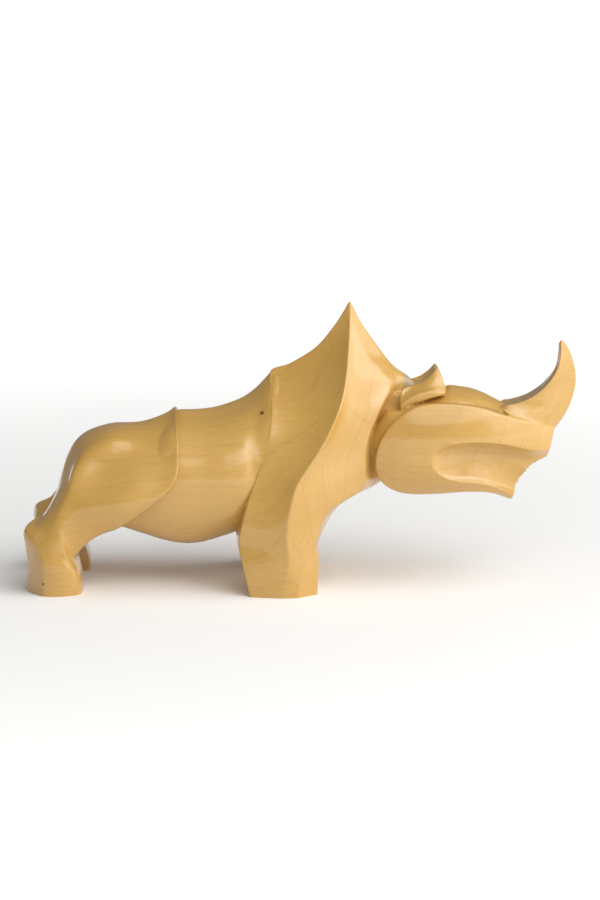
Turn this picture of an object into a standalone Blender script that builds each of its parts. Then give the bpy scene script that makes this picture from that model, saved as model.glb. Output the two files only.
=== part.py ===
"""A carved wooden rhinoceros, one block of pale hardwood.

The near half of the animal (negative Y, the side turned to the viewer) is modelled as a few
closed forms that grow into each other: the barrel, the shoulder with the front leg, the haunch
with the hind leg, the skull, the cheek, the horn and the ear. They are joined, the mouth is
hollowed, and the half is mirrored across the animal's middle plane.
+X points to the head, +Z is up, and the origin is under the middle of the box.
"""
import bpy
import bmesh
import numpy as np

# Driving dimensions, in metres. The first three stretch the whole animal along one axis each.
LENGTH = 0.350              # rump to the front of the horn
WIDTH = 0.1111              # across the front feet
HEIGHT = 0.1797             # floor to the hump's point
BARREL_WIDTH = 0.0912       # across the belly at its fullest
BELLY_HEIGHT = 0.0233       # floor to the lowest point of the belly
SPINE_POINT_HEIGHT = 0.1129  # floor to the point where the haunch starts on the spine
HEAD_WIDTH = 0.066          # across the cheeks
CHEEK_STEP = 0.007          # how far the cheek's rim stands over the crown
MOUTH_DEPTH = 0.012         # deepest point of the hollow behind the mouth
HORN_RISE = 0.0405          # horn's tip over its root
HORN_WIDTH = 0.0216         # across the horn's two rear edges near its root
EAR_RISE = 0.0145           # ear's tip over the front end of its fold
FRONT_LEG_GAP = 0.037       # clear space between the front feet
HIND_LEG_GAP = 0.0344       # clear space between the hind feet

# The forms are set out in millimetres, in a box of this length, width and height.
SETOUT = np.array([350.0, 111.1, 179.7])
SCALE = np.array([LENGTH, WIDTH, HEIGHT]) / SETOUT
MIDDLE = np.array([1.05, 0.0, 0.0])   # the set-out's zero lies this far behind the box's middle
OVERLAP = 6.0                         # how far each half form runs past the middle plane
MM = 1000.0                           # millimetres in a metre

WOOD_COLOUR = (0.62, 0.34, 0.09, 1.0)
WOOD_ROUGHNESS = 0.32

FINE = 2                              # rings between two set-out stations
SHARP_TURN = 0.6                      # an edge that turns more than this, in radians, stays crisp


def cubic(f, a, slope_a, b, slope_b):
    """Hermite blend: leaves a with slope_a at f = 0 and reaches b with slope_b at f = 1."""
    return (
        (2 * f**3 - 3 * f**2 + 1) * a
        + (f**3 - 2 * f**2 + f) * slope_a
        + (3 * f**2 - 2 * f**3) * b
        + (f**3 - f**2) * slope_b
    )


def line_at(knots, places):
    """Points of the line through the knots, at places counted in knots. The slope at a knot is
    half the step from the knot before it to the knot after it."""
    p = np.array(knots, dtype=float)
    slope = np.gradient(p, axis=0)
    i = np.clip(np.floor(places).astype(int), 0, len(p) - 2)
    f = (places - i)[:, None]
    return cubic(f, p[i], slope[i], p[i + 1], slope[i + 1])


def curve(knots):
    """A smooth value as a function of x, through (x, value) knots."""
    x, y = np.array(knots, dtype=float).T
    slope = np.gradient(y, x)

    def at(q):
        q = np.clip(np.asarray(q, dtype=float), x[0], x[-1])
        i = np.clip(np.searchsorted(x, q, side="right") - 1, 0, len(x) - 2)
        h = x[i + 1] - x[i]
        return cubic((q - x[i]) / h, y[i], h * slope[i], y[i + 1], h * slope[i + 1])

    return at


def unit(v):
    return v / (np.linalg.norm(v, axis=-1, keepdims=True) + 1e-9)


def rings_through(corners, crisp, swell, steps):
    """Closed rings through corner points given as (ring, corner, xyz).

    Side by side, a crisp corner starts the side along its own chord, turned out by the swell,
    and a soft one along the chord from the corner before to the corner after. `crisp` from 0 to
    1 mixes the two. All rings are worked out together, one side of the ring at a time."""
    p = np.asarray(corners, dtype=float)
    n = p.shape[1]
    crisp = np.broadcast_to(np.asarray(crisp, dtype=float), p.shape[:2])
    swell = np.broadcast_to(np.asarray(swell, dtype=float), p.shape[:2])
    middle = p.mean(axis=1)
    parts = []
    for i in range(n):
        j, before, after = (i + 1) % n, i - 1, (i + 2) % n
        a, b = p[:, i], p[:, j]
        side = b - a
        size = np.linalg.norm(side, axis=1, keepdims=True) + 1e-9
        out = (a + b) / 2 - middle
        out = unit(out - side * (out * side).sum(axis=1, keepdims=True) / size**2)
        bow = 4 * swell[:, i : i + 1] * size * out
        c, d = crisp[:, i : i + 1], crisp[:, j : j + 1]
        start = c * (side + bow) + (1 - c) * unit(b - p[:, before]) * size
        end = d * (side - bow) + (1 - d) * unit(p[:, after] - a) * size
        f = (np.arange(steps[i]) / steps[i])[None, :, None]
        parts.append(cubic(f, a[:, None], start[:, None], b[:, None], end[:, None]))
    return np.concatenate(parts, axis=1)


def skin(name, grid, poles=(None, None)):
    """Skins a row of rings, closes both ends with a fan, and makes the closed object."""
    mesh = bmesh.new()
    rows = []
    for ring in grid:
        rows.append([mesh.verts.new(point) for point in (ring - MIDDLE) * SCALE])
    for a, b in zip(rows, rows[1:]):
        for i in range(len(a)):
            j = (i + 1) % len(a)
            mesh.faces.new((a[i], a[j], b[j], b[i]))
    for row, ring, pole in ((rows[0], grid[0], poles[0]), (rows[-1], grid[-1], poles[1])):
        centre = np.array(pole if pole is not None else ring.mean(axis=0), dtype=float)
        tip = mesh.verts.new((centre - MIDDLE) * SCALE)
        for i in range(len(row)):
            mesh.faces.new((row[i], row[(i + 1) % len(row)], tip))
    bmesh.ops.triangulate(mesh, faces=mesh.faces, quad_method="SHORT_EDGE")
    bmesh.ops.recalc_face_normals(mesh, faces=mesh.faces)
    if mesh.calc_volume(signed=True) < 0:
        bmesh.ops.reverse_faces(mesh, faces=mesh.faces)
    data = bpy.data.meshes.new(name)
    mesh.to_mesh(data)
    mesh.free()
    made = bpy.data.objects.new(name, data)
    bpy.context.scene.collection.objects.link(made)
    return made


def shoulder():
    """From the hump's point down to the sole of the front foot.

    Six lines run down the form: the back line, the blade's rear edge, the tall shoulder ridge,
    the edge of the neck, the collar groove, and the front line.
    """
    gap = FRONT_LEG_GAP * MM / 2
    back = [(30.0, 0, 178.4), (27.2, 0, 173.5), (20.7, 0, 163.5), (9.6, 0, 150.4),
            (-6.5, 0, 140.3), (-18.7, 0, 135.5), (-16, 0, 122), (-14, 0, 110), (-14, 0, 96),
            (-18, 0, 78), (-26, 0, 60), (-40, 0, 40), (-40.5, -17, 32.5), (-37.3, -26, 22),
            (-34.6, -26, 10), (-32.4, -26, 0)]
    blade = [(30.4, -1.0, 178.6), (28.0, -1.4, 173.2), (22.4, -1.4, 163.5), (12.6, -2.5, 150.4),
             (-3.0, -3.0, 139.8), (-18.7, -3.0, 133.6), (-18.6, -17, 122.4), (-18.5, -29, 111.6),
             (-20.4, -37, 97.5), (-25, -41, 81.7), (-32, -44.6, 62.5), (-36.8, -47.4, 44),
             (-38.6, -46, 32.5), (-36.6, -49, 22), (-33.8, -51, 10), (-31.4, -52, 0)]
    ridge = [(31.4, -1.7, 178.9), (31.6, -3.8, 172.1), (31.4, -8, 163.9), (30.6, -17, 151.5),
             (29.1, -29, 136.2), (26.7, -37, 123.8), (22.6, -43.6, 112.4), (15.6, -48.8, 98.4),
             (6.5, -52, 84.1), (-2.1, -54, 70.7), (-6.4, -55.2, 55), (-8.1, -55.5, 43),
             (-7.8, -55.5, 33), (-7.0, -55.4, 22), (-9.5, -55.4, 10), (-12, -55.5, 0)]
    neck = [(32.3, -1.3, 178.6), (33.4, -2.8, 172), (35.6, -5.6, 163), (41, -10.5, 149.5),
            (49.5, -13.5, 138.5), (56.8, -16, 128), (50.6, -23.6, 115), (44.4, -27.6, 101),
            (41.3, -29, 88.5), (41, -28.5, 75), (39, -25.5, 64), (16, -38.5, 49.5),
            (9.3, -44.5, 33.4), (3.6, -50, 22), (0.8, -52.8, 10.5), (-0.7, -54.4, 0)]
    collar = [(32.8, -0.7, 178.4), (34.8, -1.5, 172), (38.4, -2.8, 163.4), (46, -5, 150),
              (55.2, -6.5, 139), (62.0, -9, 128.4), (54.4, -14, 116.6), (48.4, -17, 102.5),
              (45.2, -18.6, 89.5), (44.6, -18.6, 76), (45.3, -13, 63.4), (23.6, -15, 50.6),
              (11.9, -36, 33.4), (11.6, -40, 22), (11.3, -43.5, 10), (10.6, -45.5, 0)]
    front = [(33.2, 0, 178.2), (36.0, 0, 172.1), (40.4, 0, 164), (49.4, 0, 151.2),
             (59.0, 0, 139), (69.6, 0, 131.3), (74, 0, 124), (69, 0, 108), (66, 0, 92),
             (62, 0, 75), (49.6, 0, 62.0), (27.2, 0, 50.6), (11.8, -17, 33), (11.4, -26, 22),
             (11.0, -26, 10), (10.5, -26, 0)]
    inner_y = [OVERLAP] * 12 + [-8] + [-gap] * 3
    inner_front = [(f[0] - 3, y, f[2]) for f, y in zip(front, inner_y)]
    inner_back = [(b[0] + 3, y, b[2]) for b, y in zip(back, inner_y)]
    places = np.linspace(0, 15, 15 * FINE + 1)
    lines = (back, blade, ridge, neck, collar, front, inner_front, inner_back)
    corners = np.stack([line_at(line, places) for line in lines], axis=1)
    blade_hollow = curve([(0, -0.03), (4, -0.06), (8, -0.085), (10, -0.05), (12, 0), (15, 0.01)])
    neck_hollow = curve([(0, -0.02), (4, -0.10), (8, -0.09), (10, 0.03), (12, 0.02), (15, 0.02)])
    swell = np.zeros((len(places), 8))
    swell[:, 1] = blade_hollow(places)
    swell[:, 2] = neck_hollow(places)
    swell[:, 3] = -0.04 * np.clip((places - 11.5) / 1.0, 0, 1)
    swell[:, 4] = 0.05 * np.clip((places - 9) / 2, 0, 1)
    crisp = np.ones((len(places), 8))
    crisp[:, 0] = 0
    crisp[:, 3] = np.interp(places, [3, 5.5, 9.5, 11, 12.5], [0, 0.8, 0.8, 0, 1])
    crisp[:, 2] = 1 - 0.6 * np.clip(places - 12.6, 0, 1)
    crisp[:, 5] = 0
    steps = [3, 6, 5, 2, 3, 1, 1, 1]
    grid = rings_through(corners, crisp, swell, steps)
    return skin("shoulder", grid, ((31.4, 0.0, 179.7), None))


def barrel():
    """From inside the haunch to inside the shoulder, flaring up to the blade's edge."""
    top = curve([(-126, 82), (-112, 92), (-95, 99), (-79, 109.8), (-67, 110.6), (-56, 111.8),
                 (-44.6, 115), (-34.2, 119.8), (-25.9, 126.6), (-21.7, 131.2), (-18.7, 134.4),
                 (-8, 136)])
    belly = curve([(-126, 42), (-118, 35.6), (-109.4, 32.8), (-97.4, 29), (-88.9, 26.2),
                   (-79.8, 24), (-70.9, 23.3), (-63.8, 24), (-56.3, 26), (-50.4, 28), (-42, 31),
                   (-30, 38), (-8, 50)])
    width = curve([(-126, 26), (-112, 36), (-95, 42), (-79, 44), (-60, 44.6), (-45, 45.6),
                   (-36, 44.8), (-28, 41.4), (-18.7, 39.6), (-8, 35)])
    x = np.array([-126, -118, -110, -100, -90, -80, -72, -64, -56, -48, -41, -35, -30, -26, -22,
                  -18.9, -12.0])
    lift = np.interp(x, [-126, -71, -42], [0, 1, 0]) * (BELLY_HEIGHT * MM - 23.3)
    t, b, w = top(x), belly(x) + lift, width(x) * BARREL_WIDTH * MM / 91.2
    flare = (np.clip((x + 44) / 25.3, 0, 1) ** 2)[:, None]
    side = 72.0
    rise = np.array([1, 0.9, 0.79, 0.6, 0.42, 0.24, 0])
    out = np.array([0, 0.27, 0.5, 0.73, 0.87, 0.96, 1]) * (1 - flare)
    out = out + flare * np.array([0, 0.23, 0.45, 0.76, 0.92, 1.0, 1.04])
    upper_y = -w[:, None] * out
    upper_z = side + (t - side)[:, None] * rise
    drop = np.array([0.32, 0.62, 0.88, 1.0])
    narrow = np.array([0.965, 0.82, 0.5, 0])
    lower_y = -w[:, None] * narrow
    lower_z = side - (side - b)[:, None] * drop
    y = np.concatenate([upper_y, lower_y, np.full((len(x), 2), OVERLAP)], axis=1)
    z = np.concatenate([upper_z, lower_z, (b + 0.4)[:, None], (t - 1.2)[:, None]], axis=1)
    corners = np.stack([np.broadcast_to(x[:, None], y.shape), y, z], axis=-1)
    crisp = np.array([0.0] * 11 + [1.0, 1.0])
    return skin("barrel", rings_through(corners, crisp, 0.0, [1] * 8 + [2, 2, 1, 1, 1]))


def haunch():
    """Ribs fan from the curved front edge round the rump and down to the sole."""
    gap = HIND_LEG_GAP * MM / 2
    peak = SPINE_POINT_HEIGHT * MM
    top = [(-79, 0, peak), (-86, 0, 108), (-101.6, 0, 102.6), (-122, 0, 100.7),
           (-139.3, 0, 94.2), (-149.2, 0, 80), (-155.2, -20, 53.8), (-169.5, -25, 42.4),
           (-172.4, -22, 29), (-171.6, -21, 14), (-172.4, -21, 0)]
    upper = [(-77.2, -22, 103.4), (-86, -21.5, 98), (-102, -23, 95.6), (-121, -27, 95),
             (-136.5, -25, 89), (-146.8, -22, 75), (-161.4, -28, 48.6), (-173.2, -37, 40.2),
             (-172.6, -35, 27), (-171.6, -35, 14), (-172.4, -35, 0)]
    middle = [(-75.4, -42.6, 85.5), (-86.5, -39.6, 84), (-103, -37.6, 83), (-122, -35, 81),
              (-140.6, -37, 76.5), (-147.4, -36.5, 66), (-160.4, -40.5, 46.2), (-166.6, -45.2, 36.3),
              (-161.4, -50.3, 24), (-161, -50.5, 11.5), (-161.2, -50.2, 0)]
    low = [(-77.0, -48.0, 73.4), (-88.5, -49.6, 67), (-108, -51, 62.5), (-128, -48.6, 59),
           (-142, -46.2, 56), (-149.6, -46, 52.5), (-155.4, -48.4, 38.4), (-156, -50, 29.5),
           (-151, -51, 20), (-150, -51.2, 9.6), (-150, -51, 0)]
    under = [(-88.5, -48.8, 60.6), (-97, -49.2, 57.5), (-113, -48.4, 50.5), (-128, -46.2, 46),
             (-139, -46, 43), (-147, -47, 37), (-146.5, -48.3, 27), (-144.4, -47.4, 21),
             (-140.6, -46.4, 14.5), (-139.4, -46.4, 7.2), (-139.8, -46.4, 0)]
    bottom = [(-109, -41, 46.5), (-115, -37, 40), (-123, -36, 37.6), (-130.6, -35.5, 33.4),
              (-136.8, -36, 28.2), (-141.2, -37, 23.0), (-140.9, -38, 19.2), (-139.6, -38, 16),
              (-138.2, -38, 11.6), (-137.4, -39, 6), (-137.2, -39, 0)]
    inner_low = [(-108, OVERLAP, 47), (-113, OVERLAP, 45), (-120, OVERLAP, 44),
                 (-126, OVERLAP, 43), (-131, OVERLAP, 42), (-136, OVERLAP, 42),
                 (-141, -16, 25), (-139.6, -20, 16.5), (-138.2, -21, 11.6), (-137.4, -21, 6),
                 (-137.2, -21, 0)]
    inner_high = [(-84, OVERLAP, 108), (-90, OVERLAP, 103), (-103, OVERLAP, 98),
                  (-122, OVERLAP, 96), (-136, OVERLAP, 90), (-143.5, OVERLAP, 77),
                  (-150, -13, 52), (-166, -gap, 37), (-168, -gap, 25), (-167, -gap, 12),
                  (-168, -gap, 0)]
    places = np.linspace(0, 10, 10 * FINE + 1)
    lines = (top, upper, middle, low, under, bottom, inner_low, inner_high)
    corners = np.stack([line_at(line, places) for line in lines], axis=1)
    crisp = np.zeros((len(places), 8))
    crisp[:, 2] = 0.6 * np.clip(places - 6, 0, 1)
    crisp[:, 6:] = 1
    grid = rings_through(corners, crisp, 0.0, [3, 3, 3, 3, 2, 2, 1, 1])
    return skin("haunch", grid, ((-100.0, -18.0, 76.0), None))


CHEEK = curve([(40, 26), (50, 28.6), (62, 31.6), (80, 33), (100, 32.4), (115, 29.8), (128, 25.6),
               (140, 19.6), (150, 13.2), (157, 7.2), (161, 3.4), (170, 0.8)])


def cheek_y(x, z):
    """Half-width of the cheek: a width that depends on x, less 20% of it times the square of
    the height above the middle and 50% of it times the cube of the depth below the middle."""
    up = np.clip((z - 93) / 25, 0, None)
    down = np.clip((93 - z) / 35, 0, None)
    return CHEEK(x) * HEAD_WIDTH * MM / 66.0 * (1 - 0.20 * up**2 - 0.5 * down**3)


def cheek():
    """The smooth shield over the side of the head, with its standing rim."""
    outline = [(53.5, 65.6), (47.6, 77), (49.2, 92), (57.6, 106), (72, 116.4), (92, 118.6),
               (114, 115.6), (127, 111.2), (137, 107.8), (148, 104.5), (162.6, 99), (158.2, 80),
               (146.4, 73.4), (139.6, 64), (135.1, 52.8), (121, 59.0), (104, 60.2), (85, 58.7),
               (66, 59.2)]
    crisp = [0, 0, 0, 0, 0, 0, 0, 0, 0, 0, 1, 1, 0, 0, 1, 0, 0, 0, 0]
    flat = np.array([(x, 0, z) for x, z in outline], dtype=float)
    edge = rings_through(flat[None], crisp, 0.0, [2] * len(flat))[0]
    centre = np.array([104.0, 0.0, 85.0])
    shares = np.array([0.25, 0.5, 0.75, 0.92, 1.0])
    grid = centre + shares[:, None, None] * (edge - centre)
    grid[..., 1] = -cheek_y(grid[..., 0], grid[..., 2])
    wall = grid[-1:].copy()
    wall[..., 1] = np.minimum(wall[..., 1] + CHEEK_STEP * MM, -0.5)
    inside = (centre + 0.94 * (edge - centre))[None]
    inside[..., 1] = OVERLAP
    grid = np.concatenate([grid, wall, inside])
    return skin("cheek", grid, ((104.0, -float(cheek_y(104.0, 85.0)), 85.0), None))


def skull():
    """The core of the head: its crown runs from the collar to the root of the horn, and a shelf
    behind the ear makes the recess at the neck."""
    top = curve([(42, 100), (46, 112), (52, 122), (60, 128.6), (66, 128), (72, 126.8), (80, 126),
                 (87, 126.2), (94, 126.3), (101.8, 125.4), (108, 124.4), (115.8, 121.7),
                 (123.5, 117.8), (130, 114.4), (136, 110.6), (146, 104)])
    low = curve([(42, 74), (46, 69), (52, 67), (60, 64), (71, 62.5), (100, 64), (120, 72),
                 (136, 86), (146, 90)])
    width = curve([(42, 15), (46, 18.5), (50, 21.5), (55, 24.5), (62, 27), (80, 28.6), (100, 28), (114, 25),
                   (124, 20.5), (136, 14.5), (146, 8)])
    x = np.array([42, 44, 47, 51, 56, 61, 64, 67, 75, 83, 92, 101, 110, 118, 126, 136, 146.0])
    t, b, w = top(x), low(x), width(x)
    crown = np.interp(x, [42, 60, 71, 90, 146], [14, 12, 11, 8.4, 7])
    deep = np.interp(x, [42, 62, 67], [1, 1, 0])
    shelf = np.minimum(113.0, t - crown)
    side = t - 0.55 * (t - b)
    band = np.maximum(shelf - 1.6, side + 1.2)
    dip = 6 * np.clip(1 - np.abs(x - 75) / 18, 0, 1) ** 0.5
    floor = np.maximum((t - crown) * (1 - deep) + (shelf + 1.4) * deep, band + 1.0)
    y = np.stack([0 * x, -(0.5 - 0.02 * deep) * w, -(0.79 - 0.22 * deep) * w,
                  -(0.92 + 0.02 * deep) * w, -w, -0.75 * w, 0 * x, 0 * x + OVERLAP,
                  0 * x + OVERLAP], axis=1)
    z = np.stack([t - dip, t - 0.42 * crown - 0.6 * dip, floor, band, side, b + 0.12 * (t - b), b, b, t - 1.0],
                 axis=1)
    corners = np.stack([np.broadcast_to(x[:, None], y.shape), y, z], axis=-1)
    crisp = [0, 0, 0, 0, 0, 0, 0, 1, 1]
    return skin("skull", rings_through(corners, crisp, 0.0, [2, 2, 1, 2, 2, 1, 1, 1, 1]))


def horn():
    """A three-edged horn: a crisp front edge, two rear edges, a hollow back."""
    front = [(167.6, 0, 154.4), (171.4, 0, 148.4), (174.9, 0, 138), (175.8, 0, 128),
             (173.5, 0, 117), (168.8, 0, 106.6), (163.5, 0, 99), (160.5, 0, 94), (159, 0, 90),
             (157, 0, 86)]
    edge = [(165.4, -1.7, 153.8), (165.0, -4.2, 146.5), (162.9, -6.7, 137.4), (155.7, -9.0, 127),
            (145.6, -10.2, 119.4), (135.5, -10.8, 115.8), (128.6, -11.4, 114.8),
            (126.9, -13.4, 112.8), (130.7, -16.8, 110.8), (138, -19.4, 104.6)]
    back = [(164.0, 0, 153.4), (163.6, 0, 146.2), (161.6, 0, 136.4), (154.8, 0, 126.4),
            (145, 0, 118.8), (135, 0, 115.2), (127.6, 0, 113.4), (125, 0, 110), (129, 0, 106),
            (136, 0, 101)]
    inner_front = [(p[0] - 0.6, OVERLAP, p[2]) for p in front]
    inner_back = [(p[0] + 0.6, OVERLAP, p[2]) for p in back]
    places = np.linspace(0, 9, 8 * FINE + 1)
    lines = (front, edge, back, inner_back, inner_front)
    corners = np.stack([line_at(line, places) for line in lines], axis=1)
    side = curve([(0, 0.0), (1, -0.02), (2, -0.04), (3, -0.02), (4, 0.05), (5, 0.12), (6, 0.17),
                  (7, 0.18), (8, 0.16), (9, 0.13)])
    swell = np.zeros((len(places), 5))
    swell[:, 0] = side(places)
    swell[:, 1] = -0.05
    grid = rings_through(corners, 1.0, swell, [5, 2, 1, 1, 1])
    root = 114.8
    grid[..., 2] += np.clip(grid[..., 2] - root, 0, None) * (HORN_RISE * MM / 40.5 - 1)
    grid[..., 1] *= HORN_WIDTH * MM / 21.6
    return skin("horn", grid, ((165.9, 0.0, 155.3 + HORN_RISE * MM - 40.5), None))


def ear():
    """A leaf-shaped ear that lies back along the crown: a fold below, a rim above."""
    fold = [(64.5, -8, 109), (63.4, -20.4, 111.5), (65.6, -22.0, 114.6), (69.6, -22.6, 117),
            (75.6, -22.8, 119), (82.5, -22.2, 121.4), (88.2, -20.8, 122.6), (91.4, -18.8, 123),
            (90.5, -12, 122)]
    hem = [(64, -8, 114), (62.9, -20.9, 115.6), (65.9, -23.4, 119.0), (70.2, -24.0, 122.4),
           (76.4, -23.8, 124.6), (83.0, -22.6, 125.3), (88.6, -20.8, 124.7), (91.9, -18.8, 124.6),
           (90.8, -12, 124)]
    leaf = [(64, -8, 118), (62.6, -20.2, 119.0), (65.2, -20.4, 122.2), (69.9, -19.9, 124.4),
            (76.4, -19.3, 126.4), (83.2, -17.8, 128.3), (88.7, -16.0, 128.6), (91.7, -14.9, 128.0),
            (90, -9, 128)]
    rim = [(65.5, -8, 122), (64.2, -18.4, 124.6), (66.6, -16.4, 127.2), (71.3, -13, 128.3),
           (77.4, -12.4, 130.6), (82.6, -11.9, 134.8), (85.9, -11.2, 138.6), (87.4, -10.9, 137.6),
           (87, -7, 134)]
    valley = [(67, -4, 118), (66.8, -9, 121.5), (69, -9, 123.2), (73, -8.4, 123.6),
              (79, -8, 125), (83.6, -8.4, 129.3), (85.9, -9.0, 134), (86.8, -8.8, 134.2),
              (86.5, -6, 130)]
    within = [(x, OVERLAP, 116.5) for x, _, _ in valley]
    below = [(x, OVERLAP, z - 8) for x, _, z in fold]
    places = np.linspace(0, 8, 8 * FINE + 1)
    lines = (fold, hem, leaf, rim, valley, within, below)
    corners = np.stack([line_at(line, places) for line in lines], axis=1)
    grid = rings_through(corners, [1, 0.7, 0.3, 1, 0.3, 1, 1], [0, 0.03, 0, 0, 0, 0, 0],
                         [1, 1, 3, 2, 1, 1, 1])
    fold_end = 124.0
    grid[..., 2] += np.clip(grid[..., 2] - fold_end, 0, None) * (EAR_RISE * MM / 14.5 - 1)
    return skin("ear", grid)


def mouth():
    """The long hollow behind the mouth: a steep upper edge and a soft lower one."""
    upper = curve([(83, 83.2), (83.6, 86.6), (86.6, 90.1), (91.5, 92.6), (100.7, 94.2),
                   (114.7, 94.3), (129, 92.2), (143.5, 87.8), (155.8, 85), (172, 84)])
    lower = curve([(83, 81.6), (84.2, 78.2), (87.4, 74.4), (95.9, 70), (110.5, 67.4),
                   (120.1, 65.2), (134.8, 57.0), (146, 49), (172, 40)])
    depth = curve([(83, 0.6), (86, 3.4), (91, 6), (98, 8.4), (108, 10.6), (122, 12), (136, 11.8),
                   (150, 9.5), (172, 7)])
    x = np.array([83, 83.6, 85, 87.5, 91, 96, 103, 111, 119, 127, 135, 143, 151, 160, 172.0])
    u, v, d = upper(x), lower(x), depth(x) * MOUTH_DEPTH * MM / 12.0
    yu, yv = -cheek_y(x, u), -cheek_y(x, v)
    gap = u - v
    y = np.stack([0 * x - 42, yu, yu + 0.9 * d, yu + d, yv + 0.25 * d, yv, 0 * x - 42], axis=1)
    z = np.stack([u + 0.12 * np.maximum(0.5, 42 + yu), u, u - 0.16 * gap, u - 0.42 * gap,
                  v + 0.14 * gap, v, v - 0.8 * (42 + yv)], axis=1)
    corners = np.stack([np.broadcast_to(x[:, None], y.shape), y, z], axis=-1)
    return skin("mouth", rings_through(corners, [1, 0, 0, 0, 0, 0, 1], 0.0, [1, 2, 2, 3, 2, 1, 1]))


def near_half(body):
    """Settles the joined forms into one mesh and keeps the near side of the middle plane."""
    view = bpy.context.evaluated_depsgraph_get()
    whole = bpy.data.meshes.new_from_object(body.evaluated_get(view))
    body.modifiers.clear()
    body.data = whole
    shape = bmesh.new()
    shape.from_mesh(whole)
    bmesh.ops.triangulate(shape, faces=shape.faces[:])
    bmesh.ops.bisect_plane(shape, geom=shape.verts[:] + shape.edges[:] + shape.faces[:],
                           dist=0.000001, plane_co=(0, 0, 0), plane_no=(0, 1, 0),
                           clear_outer=True)
    for corner in shape.verts:
        if abs(corner.co.y) < 0.000002:
            corner.co.y = 0.0
    shape.to_mesh(whole)
    shape.free()


def guide(piece):
    """Marks a form as a helper that isn't part of the finished model."""
    piece.hide_render = True
    piece.display_type = "WIRE"
    return piece


def main():
    for item in list(bpy.data.objects):
        bpy.data.objects.remove(item, do_unlink=True)

    wood = bpy.data.materials.new("varnished_hardwood")
    wood.use_nodes = True
    surface = wood.node_tree.nodes["Principled BSDF"]
    surface.inputs["Base Color"].default_value = WOOD_COLOUR
    surface.inputs["Roughness"].default_value = WOOD_ROUGHNESS
    surface.inputs["Metallic"].default_value = 0.0

    body = barrel()
    body.name = "rhinoceros"
    for form in (shoulder, haunch, skull, cheek, ear, horn):
        joined = body.modifiers.new("with_" + form.__name__, "BOOLEAN")
        joined.operation = "UNION"
        joined.solver = "EXACT"
        joined.object = guide(form())
    cut = body.modifiers.new("mouth_hollow", "BOOLEAN")
    cut.operation = "DIFFERENCE"
    cut.solver = "EXACT"
    cut.object = guide(mouth())
    near_half(body)
    body.data.name = "rhinoceros"
    body.data.materials.clear()
    body.data.materials.append(wood)
    mirror = body.modifiers.new("other_half", "MIRROR")
    mirror.use_axis = (False, True, False)
    mirror.merge_threshold = 0.00001
    body.data.shade_smooth()
    body.data.set_sharp_from_angle(angle=SHARP_TURN)


main()
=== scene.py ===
# %% [markdown]
# # A carved rhinoceros in varnished pale hardwood
# The real figurine is one block of wood. Its maker cut broad, slightly hollow planes that meet
# in crisp ridges, rounded the ridges by a hair, sanded everything smooth and brushed on a clear
# varnish. This file builds that surface from a few families of curves, gives it a wood that runs
# through the block, and sets it on a pale floor under soft studio lights.

# %% Load the frame
import math

import bmesh
import bpy
import numpy as np
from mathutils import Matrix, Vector


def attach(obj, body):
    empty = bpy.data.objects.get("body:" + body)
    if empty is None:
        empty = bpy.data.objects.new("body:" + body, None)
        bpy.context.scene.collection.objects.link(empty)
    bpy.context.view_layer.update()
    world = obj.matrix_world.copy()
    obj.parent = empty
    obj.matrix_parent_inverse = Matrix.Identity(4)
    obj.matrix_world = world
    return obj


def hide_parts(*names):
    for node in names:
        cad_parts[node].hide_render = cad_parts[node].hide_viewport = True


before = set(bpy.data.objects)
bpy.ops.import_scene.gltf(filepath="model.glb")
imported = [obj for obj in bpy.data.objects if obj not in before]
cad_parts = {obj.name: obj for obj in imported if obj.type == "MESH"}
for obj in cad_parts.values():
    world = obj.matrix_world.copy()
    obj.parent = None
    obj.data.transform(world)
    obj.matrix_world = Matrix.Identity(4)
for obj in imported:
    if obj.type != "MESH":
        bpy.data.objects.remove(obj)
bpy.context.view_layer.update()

# %% Main sizes
LENGTH = 0.350  # from the hind feet to the front of the horn, in metres
MM = LENGTH / 350.0  # one millimetre of the lists below
MIDDLE = 1.05 * MM  # where the length's middle lies on the lists' x axis
OVERLAP = 6.0  # the near half's forms run this far past the middle plane, in millimetres
FINE = 8  # rings from one station of a form to the next
print("rings between two stations:", FINE)

# %% [markdown]
# ## Curves
# A carver thinks in lines: the back, the shoulder ridge, the edge of the neck. Each line here is
# a short row of knots, and a Catmull-Rom spline runs through them, because it passes exactly
# through each knot and needs no handles. A ring then joins the lines at one place along the body.
# A corner of the ring can be crisp, soft, or anything between.


# %% Splines
def cubic(f, a, slope_a, b, slope_b):
    """Hermite blend: leaves a with slope_a at f = 0 and reaches b with slope_b at f = 1."""
    return (
        (2 * f**3 - 3 * f**2 + 1) * a
        + (f**3 - 2 * f**2 + f) * slope_a
        + (3 * f**2 - 2 * f**3) * b
        + (f**3 - f**2) * slope_b
    )


def line_at(knots, places):
    """Points of the line through the knots, at places counted in knots. The slope at a knot is
    half the step from the knot before it to the knot after it."""
    p = np.array(knots, dtype=float)
    slope = np.gradient(p, axis=0)
    i = np.clip(np.floor(places).astype(int), 0, len(p) - 2)
    f = (places - i)[:, None]
    return cubic(f, p[i], slope[i], p[i + 1], slope[i + 1])


def curve(knots):
    """A smooth value as a function of x, through (x, value) knots."""
    x, y = np.array(knots, dtype=float).T
    slope = np.gradient(y, x)

    def at(q):
        q = np.clip(np.asarray(q, dtype=float), x[0], x[-1])
        i = np.clip(np.searchsorted(x, q, side="right") - 1, 0, len(x) - 2)
        h = x[i + 1] - x[i]
        return cubic((q - x[i]) / h, y[i], h * slope[i], y[i + 1], h * slope[i + 1])

    return at


# %% Rings
def unit(v):
    """Each vector divided by its own length."""
    return v / (np.linalg.norm(v, axis=-1, keepdims=True) + 1e-9)


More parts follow.
